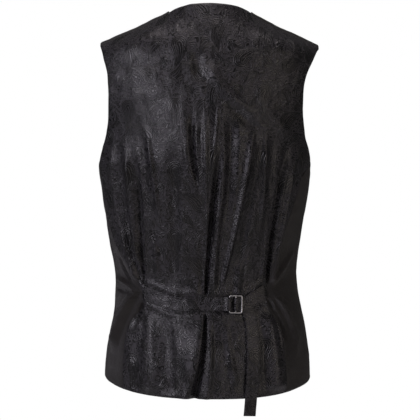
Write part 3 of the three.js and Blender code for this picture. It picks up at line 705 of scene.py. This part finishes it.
def suiting_material():
    """Fine wool twill: diagonal ribs, a soft nap, slight unevenness of the dye, and the row of
    stitches along the front's edge."""
    material, tree, shader = new_material("suiting")
    where, x, y = cloth_coordinates(tree, (0, 0))
    ribs = texture(tree, "Wave", where, 420, distortion=2.0, detail_scale=2.0)
    ribs.bands_direction = "DIAGONAL"
    nap = texture(tree, "Noise", where, 300, detail=4)
    tint = texture(tree, "Noise", where, 25, detail=3)
    shade = maths(tree, "MULTIPLY", mixed(tree, ribs.outputs["Fac"], 0.6, 1.0),
                  mixed(tree, tint.outputs["Fac"], 0.75, 1.25))
    dye(tree, shader, shade, (0.0036, 0.0030, 0.0028), (0.019, 0.0155, 0.0146))
    tree.links.new(mixed(tree, nap.outputs["Fac"], 0.3, 0.52), shader.inputs["Roughness"])
    height = maths(tree, "ADD", ribs.outputs["Fac"], maths(tree, "MULTIPLY", nap.outputs["Fac"], 2.2))
    sewn = stitches(tree, x, y, 0.0032, 0.003)
    height = maths(tree, "SUBTRACT", height, maths(tree, "MULTIPLY", sewn, 2.5))
    emboss(tree, shader, height, 0.9, 0.00045)
    shader.inputs["Specular IOR Level"].default_value = 0.6
    shader.inputs["Sheen Weight"].default_value = 0.15
    shader.inputs["Sheen Roughness"].default_value = 0.5
    return material


def left_lift(x, y):
    """The left front stands out where it lies on the right one."""
    return np.where(y < 0, LAP_LIFT * (1 - smooth(LAP + 14, LAP + 50, x)), 0)


suiting = suiting_material()
for node, side, lift in (("front_left", 1, left_lift), ("front_right", -1, no_lift)):
    rows = rows_to(FRONT_TOP, FRONT_TOP_ROWS)
    panel = cloth_panel(
        node + "_wool", front_row, FRONT_HEIGHTS, side, FRONT_COLUMNS, rows,
        lift, WOOL_WALL, (suiting, lining),
    )
    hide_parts(node)
    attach(panel, "root")

# Cinch belt
# Two straps of the same satin, folded and stitched along both edges, are sewn into the side seams.
# The left one is sewn round the buckle's near side. The right one goes through it and hangs down.
BUCKLE = {
    "x": -43.8, "z": BELT_Z, "half_wide": 9.7, "half_high": 13,
    "corner": 2.2, "wire": 1.0, "bar": 0.8, "lift": 4.4,
}
STRAP = 1.2
STRAP_WALL = 1.1
TAIL_HALF = 9
TAIL_LIFT = 5.2
SEAT_LIFT = 0.4
FOLD_BACK = 15


def back_surface():
    """The plain back without its folds, for laying straps on."""
    bm = bmesh.new()
    for side in (1, -1):
        before = None
        for t in range(-56, 260, 4):
            point = cloth_place(back_row, BACK_HEIGHTS, side, np.linspace(0, 1, 61), t)[0]
            point[:, 0] += lean(point[:, 2])
            line = [bm.verts.new(place) for place in point]
            if before:
                for i in range(60):
                    bm.faces.new((before[i], before[i + 1], line[i + 1], line[i]))
            before = line
    tree = BVHTree.FromBMesh(bm)
    bm.free()
    return tree


PLAIN_BACK = back_surface()


def depth_at(x, z):
    """How far back the plain form lies."""
    hit = PLAIN_BACK.ray_cast(Vector((x, 400, z)), Vector((0, -1, 0)))[0]
    return hit.y if hit else 0


def draped_place(x, z):
    """A place on the plain back and its way out there."""
    y = depth_at(x, z)
    across = (depth_at(x + 4, z) - depth_at(x - 4, z)) / 8
    up = (depth_at(x, z + 4) - depth_at(x, z - 4)) / 8
    return Vector((x, y, z)), Vector((-across, 1, -up)).normalized()


SEAT, SEAT_OUT = draped_place(BUCKLE["x"], BUCKLE["z"])
SIDEWAYS = (Vector((1, 0, 0)) - SEAT_OUT * SEAT_OUT.x).normalized()
DOWNWARDS = SEAT_OUT.cross(SIDEWAYS)


def on_back(x, z, lift):
    """A place on the back, on the buckle's flat plane where it is near the buckle."""
    place, out = draped_place(x, z)
    draped = place + out * lift
    right, down = x - BUCKLE["x"], BUCKLE["z"] - z
    flat = SEAT + SEAT_OUT * (SEAT_LIFT + lift) + SIDEWAYS * right + DOWNWARDS * down
    return draped.lerp(flat, 1 - float(smooth(16, 40, math.hypot(right, down))))


class Line:
    """A smooth line through points on the back, measured along itself."""

    def __init__(self, *marks):
        marks = np.array(marks, dtype=float)
        padded = np.vstack([2 * marks[0] - marks[1], marks, 2 * marks[-1] - marks[-2]])
        pieces = []
        for i in range(len(marks) - 1):
            a, b, c, d = padded[i:i + 4]
            s = np.linspace(0, 1, 60, endpoint=i == len(marks) - 2)[:, None]
            pieces.append(0.5 * (2 * b + (c - a) * s + (2 * a - 5 * b + 4 * c - d) * s**2
                                 + (3 * b - a - 3 * c + d) * s**3))
        self.places = np.vstack(pieces)
        steps = np.linalg.norm(np.diff(self.places, axis=0), axis=1)
        self.along = np.concatenate([[0], np.cumsum(steps)])
        self.length = self.along[-1]

    def at(self, along):
        """The place and the way at a distance, which may be past either end."""
        def near(distance):
            return np.array([np.interp(distance, self.along, self.places[:, k]) for k in (0, 1)])

        inside = min(max(along, 0), self.length)
        way = near(min(inside + 0.5, self.length)) - near(max(inside - 0.5, 0))
        way /= np.linalg.norm(way)
        return near(inside) + way * (along - inside), way


def run(line, start, end, count, lift_at, half):
    """Stations of a strap along a line: place, way, lift and half width."""
    stations = []
    for share in np.linspace(0, 1, count):
        place, way = line.at(lerp(start, end, share))
        stations.append((place, way, lift_at(share), half))
    return stations


def turn(line, along, radius, half, angles):
    """Stations round a bar of the buckle, which stands at a distance along the line."""
    stations = []
    for degrees in angles:
        angle = math.radians(degrees)
        place, ahead = line.at(along + radius * math.cos(angle))
        stations.append((place, ahead, BUCKLE["lift"] + radius * math.sin(angle), half))
    return stations


def ease(start, end):
    """A lift that changes smoothly over a run."""
    return lambda share: lerp(start, end, float(smooth(0, 1, share)))


def strap_piece(name, stations, node, material):
    """A strap from a strip of faces bent to its stations, with a wall and soft edges. Its UVs run
    along it in metres."""
    across = np.array([-1, -0.93, -0.8, -0.5, -0.2, 0.2, 0.5, 0.8, 0.93, 1])
    bm = bmesh.new()
    bmesh.ops.create_grid(bm, x_segments=len(across) - 1, y_segments=len(stations) - 1, size=0.5)
    uv = bm.loops.layers.uv.new("UVMap")
    place_of, flat_of, run_length, before = {}, {}, 0, None
    for j, (place, way, lift, half) in enumerate(stations):
        middle = on_back(place[0], place[1], lift)
        run_length += (middle - before).length if before else 0
        before = middle
        for i, share in enumerate(across):
            spot = place + np.array([-way[1], way[0]]) * share * half
            ripple = 0.5 * noise.noise((run_length / 11, share * 1.2, half))
            place_of[i, j] = on_back(spot[0], spot[1], lift + ripple)
            flat_of[i, j] = (run_length * MM, share * BELT_HALF * MM)
    for vert in bm.verts:
        key = (round((vert.co.x + 0.5) * (len(across) - 1)), round((vert.co.y + 0.5) * (len(stations) - 1)))
        vert.co = place_of[key] * MM
        for loop in vert.link_loops:
            loop[uv].uv = flat_of[key]
    for face in bm.faces:
        face.smooth = True
    strap = new_piece(name, bm, material)
    wall = strap.modifiers.new("wall", "SOLIDIFY")
    wall.thickness = STRAP_WALL * MM
    wall.offset = 0
    rounding = strap.modifiers.new("soft_edge", "BEVEL")
    rounding.width = 0.35 * MM
    rounding.segments = 2
    rounding.limit_method = "ANGLE"
    rounding.angle_limit = math.radians(60)
    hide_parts(node)
    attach(strap, "root")
    return strap


def belt_mark(x):
    """A point of the belt's middle line."""
    return x, belt_height(x)


# Lifts of a strap's middle, first flat on the cloth and then on a layer of strap under it.
FLAT = 0.45 + STRAP / 2
SECOND = FLAT + STRAP + 0.3
ROUND_BAR = (-85, -60, -38, -15, 8, 30, 52, 75)
left_radius = BUCKLE["wire"] + 0.3 + STRAP / 2
bar_radius = BUCKLE["bar"] + 0.3 + STRAP / 2
left_line = Line(*[belt_mark(x) for x in (97.5, 72, 47, 0, BUCKLE["x"] + BUCKLE["half_wide"])])
end = left_line.length
fold = end - FOLD_BACK
strap_left = (
    run(left_line, 0, fold - 8, 60, ease(FLAT, FLAT), BELT_HALF)
    + run(left_line, fold - 3, fold + 1, 4, ease(lerp(FLAT, SECOND, 0.6), SECOND), BELT_HALF)
    + run(left_line, end - 9, end - 2, 5, ease(SECOND + 0.6, BUCKLE["lift"] + left_radius * 0.98), BELT_HALF)
    + turn(left_line, end, left_radius, BELT_HALF, ROUND_BAR[::-1])
    + run(left_line, end - 3, fold, 6, ease(BUCKLE["lift"] - left_radius, FLAT), BELT_HALF)
)
right_line = Line((-91.5, belt_height(-92)), *[belt_mark(x) for x in (-74, -58, BUCKLE["x"])])
tail_line = Line((-66, -591), (-69, -545), (-70.5, -500), (-69.5, -464), (-66.5, -443), (-61, -430.5),
                 (-52, -423.6), belt_mark(BUCKLE["x"]))
end = right_line.length
tail_end = tail_line.length


def tail_lift(share):
    """The tail lies flat below the buckle and then comes away from the cloth."""
    return lerp(SECOND, TAIL_LIFT, float(smooth(0.14, 0.45, share)))


strap_right = (
    run(right_line, 0, end - 13, 20, ease(FLAT, FLAT), BELT_HALF)
    + run(right_line, end - 9, end - 2, 5, ease(FLAT + 0.15, BUCKLE["lift"] - bar_radius), BELT_HALF)
    + turn(right_line, end, bar_radius, BELT_HALF - 0.5, ROUND_BAR)
)
strap_tail = (
    run(tail_line, tail_end - 2, tail_end - 7, 4, ease(BUCKLE["lift"] + bar_radius, SECOND), BELT_HALF - 1.2)
    + run(tail_line, tail_end - 13, 0, 70, tail_lift, TAIL_HALF)
)
belt_satin = satin_material("satin_belt", (0.02, 0.02), (0.45, 0.26), 0.85, 0.00026, 0.0088)
strap_piece("belt_left", strap_left, "strap_left", belt_satin)
strap_piece("belt_right", strap_right + strap_tail, "strap_right", belt_satin)

# Buckle
# A slide buckle bent from polished steel wire, closed into a frame with rounded corners, and with a
# thinner wire soldered across its middle. Only the straps round it hold it.
def object_place(tree):
    """Where a point is in the shared frame."""
    return tree.nodes.new("ShaderNodeTexCoord").outputs["Object"]


def polished_steel():
    """Bright plate with a very fine grain."""
    material, tree, shader = new_material("polished_steel")
    grain = texture(tree, "Noise", object_place(tree), 1400, detail=3)
    tree.links.new(mixed(tree, grain.outputs["Fac"], 0.26, 0.4), shader.inputs["Roughness"])
    shader.inputs["Base Color"].default_value = (0.93, 0.93, 0.94, 1)
    shader.inputs["Metallic"].default_value = 1
    emboss(tree, shader, grain.outputs["Fac"], 0.08, 0.00005)
    return material


def wire_frame():
    """The frame's wire is a circle drawn along each side and spun round each corner."""
    bm = bmesh.new()
    inside_wide = BUCKLE["half_wide"] - BUCKLE["corner"]
    inside_high = BUCKLE["half_high"] - BUCKLE["corner"]
    ring = bmesh.ops.create_circle(bm, segments=16, radius=BUCKLE["wire"])["verts"]
    bmesh.ops.rotate(bm, verts=ring, cent=(0, 0, 0), matrix=Matrix.Rotation(math.pi / 2, 3, "X"))
    bmesh.ops.translate(bm, verts=ring, vec=(BUCKLE["half_wide"], -inside_high, 0))
    edges = list({edge for vert in ring for edge in vert.link_edges})
    for i in range(4):
        angle = i * math.pi / 2
        ahead = Vector((-math.sin(angle), math.cos(angle), 0))
        length = 2 * (inside_wide if i % 2 else inside_high)
        moved = bmesh.ops.extrude_edge_only(bm, edges=edges)["geom"]
        verts = [v for v in moved if isinstance(v, bmesh.types.BMVert)]
        bmesh.ops.translate(bm, verts=verts, vec=ahead * length)
        edges = [e for e in moved if isinstance(e, bmesh.types.BMEdge)]
        corner = (inside_high, inside_wide, 0) if i % 2 else (inside_wide, inside_high, 0)
        centre = Matrix.Rotation(angle, 3, "Z") @ Vector(corner)
        turned = bmesh.ops.spin(bm, geom=verts + edges, cent=centre, axis=(0, 0, 1), dvec=(0, 0, 0),
                                angle=math.pi / 2, steps=8, use_duplicate=False)["geom_last"]
        edges = [e for e in turned if isinstance(e, bmesh.types.BMEdge)]
    bmesh.ops.remove_doubles(bm, verts=bm.verts, dist=0.01)
    bar = bmesh.ops.create_cone(bm, cap_ends=True, segments=16, radius1=BUCKLE["bar"], radius2=BUCKLE["bar"],
                                depth=BUCKLE["half_high"] * 2)["verts"]
    bmesh.ops.rotate(bm, verts=bar, cent=(0, 0, 0), matrix=Matrix.Rotation(math.pi / 2, 3, "X"))
    bmesh.ops.recalc_face_normals(bm, faces=bm.faces)
    for face in bm.faces:
        face.smooth = len(face.verts) < 5
    return bm


bm = wire_frame()
standing = Matrix((SIDEWAYS, DOWNWARDS, SEAT_OUT)).transposed().to_4x4()
standing.translation = SEAT + SEAT_OUT * (SEAT_LIFT + BUCKLE["lift"])
bmesh.ops.transform(bm, matrix=Matrix.Scale(MM, 4) @ standing, verts=bm.verts)
buckle = new_piece("wire_buckle", bm, polished_steel())
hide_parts("buckle")
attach(buckle, "root")

# Buttons
# Five four-hole horn buttons down the centre front, turned with a rim and sewn on with thread. Each
# is through a buttonhole of the left front, whose stitched loop shows beside and under it.
BUTTON = {"radius": 7.5, "thick": 2.8, "first": -300, "step": 60, "count": 5, "hole_at": 1.5, "hole": 0.8}


def tube(bm, path, radius):
    """A closed tube of thread along a loop of points."""
    sides, count = 8, len(path)
    grid = bmesh.ops.create_grid(bm, x_segments=sides, y_segments=count, size=0.5)["verts"]
    for vert in grid:
        i = round((vert.co.y + 0.5) * count) % count
        angle = round((vert.co.x + 0.5) * sides) % sides * 2 * math.pi / sides
        way = (path[(i + 1) % count] - path[i - 1]).normalized()
        beside = way.cross(Vector((0, 0, 1))).normalized()
        vert.co = path[i] + (beside * math.cos(angle) + way.cross(beside) * math.sin(angle)) * radius
    bmesh.ops.remove_doubles(bm, verts=grid, dist=0.01)


def button_height(x, y):
    """The face is dished inside a rounded rim and pierced by four holes."""
    far = math.hypot(x, y) / BUTTON["radius"]
    rim = BUTTON["thick"] - 0.9 * (1 - float(smooth(0.6, 0.78, far))) - 1.1 * float(smooth(0.88, 1, far))
    aside = BUTTON["hole_at"]
    hole = min(math.hypot(abs(x) - aside, abs(y) - aside) / BUTTON["hole"], 2)
    return rim - 1.5 * (1 - float(smooth(0.75, 1.1, hole)))


def button_mesh():
    """A button with three strands of thread over each pair of holes. Thread is material 1."""
    bm = bmesh.new()
    rings, around = 30, 72
    grid = bmesh.ops.create_grid(bm, x_segments=around, y_segments=rings, size=0.5)["verts"]
    for vert in grid:
        angle = round((vert.co.x + 0.5) * around) % around * 2 * math.pi / around
        far = (vert.co.y + 0.5) * BUTTON["radius"] * 1.2
        reach = min(far, BUTTON["radius"])
        x, y = reach * math.cos(angle), reach * math.sin(angle)
        under = max(far - BUTTON["radius"], 0) / (BUTTON["radius"] * 0.2)
        z = button_height(x, y) * (1 - under) + 0.3 * under
        inwards = 1 - 0.2 * under * under
        vert.co = Vector((x * inwards, y * inwards, z))
    bmesh.ops.remove_doubles(bm, verts=grid, dist=0.001)
    bmesh.ops.contextual_create(bm, geom=[edge for edge in bm.edges if edge.is_boundary])
    for face in bm.faces:
        face.smooth = True
    for side in (-BUTTON["hole_at"], BUTTON["hole_at"]):
        for beside in (-0.35, 0, 0.35):
            arch = [Vector((side + beside, 1.7 * math.cos(a), 1.9 + 0.75 * math.sin(a)))
                    for a in np.linspace(0, 2 * math.pi, 20, endpoint=False)]
            before = set(bm.faces)
            tube(bm, arch, 0.2)
            for face in set(bm.faces) - before:
                face.material_index = 1
                face.smooth = True
    bmesh.ops.recalc_face_normals(bm, faces=bm.faces)
    return bm


def horn_material():
    """Dark horn with brown clouds, polished."""
    material, tree, shader = new_material("horn")
    clouds = texture(tree, "Noise", object_place(tree), 260, detail=4)
    dye(tree, shader, clouds.outputs["Fac"], (0.006, 0.0045, 0.004), (0.035, 0.022, 0.016))
    tree.links.new(mixed(tree, clouds.outputs["Fac"], 0.2, 0.36), shader.inputs["Roughness"])
    return material


def thread_material():
    """Black twisted thread."""
    material, tree, shader = new_material("thread")
    twist = texture(tree, "Wave", object_place(tree), 900)
    twist.bands_direction = "DIAGONAL"
    tree.links.new(mixed(tree, twist.outputs["Fac"], 0.5, 0.7), shader.inputs["Roughness"])
    shader.inputs["Base Color"].default_value = (0.012, 0.011, 0.011, 1)
    emboss(tree, shader, twist.outputs["Fac"], 0.6, 0.0001)
    return material


def buttonhole_loop():
    """The stitched edge of a slit, towards the garment's side from the button."""
    return [Vector((6.5 + 8.5 * math.cos(a), 0.75 * math.sin(a) * (1 + 0.5 * (math.cos(a) < -0.9)), 0.15))
            for a in np.linspace(0, 2 * math.pi, 48, endpoint=False)]


wool = BVHTree.FromObject(bpy.data.objects["front_left_wool"], bpy.context.evaluated_depsgraph_get())
horn, thread = horn_material(), thread_material()
for number in range(BUTTON["count"]):
    z = (BUTTON["first"] - number * BUTTON["step"]) * MM
    place, out = wool.ray_cast(Vector((0, -0.5, z)), Vector((0, 1, 0)))[:2]
    sideways = (Vector((1, 0, 0)) - out * out.x).normalized()
    standing = Matrix((sideways, out.cross(sideways), out)).transposed().to_4x4()
    standing.translation = place
    name = "button_%d" % (number + 1)
    bm = button_mesh()
    button_faces = set(bm.faces)
    tube(bm, buttonhole_loop(), 0.55)
    for face in set(bm.faces) - button_faces:
        face.material_index = 1
        face.smooth = True
    bmesh.ops.transform(bm, matrix=standing @ Matrix.Scale(MM, 4), verts=bm.verts)
    button = new_piece(name + "_horn", bm, horn, thread)
    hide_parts(name)
    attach(button, "root")

# Floor, light and camera
# A pale floor lies well below the garment. The strongest soft light stands high on the left of the
# view, with weaker ones on the right, above and in front of the chest.
def studio_material():
    material, _, shader = new_material("studio")
    shader.inputs["Base Color"].default_value = (0.9, 0.9, 0.9, 1)
    shader.inputs["Roughness"].default_value = 0.9
    return material


bm = bmesh.new()
bmesh.ops.create_circle(bm, cap_ends=True, segments=64, radius=2.5)
bmesh.ops.translate(bm, verts=bm.verts, vec=(0, 0, -1.35))
floor = new_piece("studio_floor", bm, studio_material())


def soft_light(name, place, target, size, power, colour=(1, 1, 1)):
    """A rectangle of light that faces its target. Its size is in metres, its power in watts."""
    lamp = bpy.data.lights.new(name, "AREA")
    lamp.shape = "RECTANGLE"
    lamp.size, lamp.size_y = size
    lamp.energy = power
    lamp.color = colour
    light = bpy.data.objects.new(name, lamp)
    light.location = place
    light.rotation_euler = (Vector(target) - Vector(place)).to_track_quat("-Z", "Y").to_euler()
    bpy.context.scene.collection.objects.link(light)


CHEST = (0, 0, -0.3)
soft_light("key", (2.05, 1.75, 0.8), CHEST, (1.0, 1.2), 25, (0.94, 0.89, 1.0))
soft_light("fill", (-1.8, 2.0, 0.3), CHEST, (0.8, 1.6), 7, (1.0, 0.88, 0.79))
soft_light("top", (0.1, 0.0, 2.0), CHEST, (1.4, 1.4), 13, (1.0, 0.90, 0.92))
soft_light("front", (0, -2.5, -0.2), CHEST, (1.0, 1.4), 13)

# The air is white where the view sees it and gives only a little light of its own.
bpy.context.scene.view_settings.view_transform = "Standard"
world = bpy.data.worlds.new("studio_air")
world.use_nodes = True
air = world.node_tree
seen = air.nodes.new("ShaderNodeLightPath")
level = maths(air, "ADD", maths(air, "MULTIPLY", seen.outputs["Is Camera Ray"], 0.96), 0.04)
air.links.new(level, air.nodes["Background"].inputs["Strength"])
air.nodes["Background"].inputs["Color"].default_value = (1, 1, 1, 1)
bpy.context.scene.world = world

VIEW_PLACE = (0, 2.3, -0.1)
VIEW_TARGET = (-0.004, 0, -0.285)
VIEW_ROLL = 0.6
camera = bpy.data.objects.new("camera", bpy.data.cameras.new("camera"))
camera.data.lens = 124.8
camera.data.sensor_width = 36
camera.location = VIEW_PLACE
aim = (Vector(VIEW_TARGET) - Vector(VIEW_PLACE)).to_track_quat("-Z", "Y").to_matrix()
camera.rotation_euler = (aim @ Matrix.Rotation(math.radians(VIEW_ROLL), 3, "Z")).to_euler()
bpy.context.scene.collection.objects.link(camera)
bpy.context.scene.camera = camera
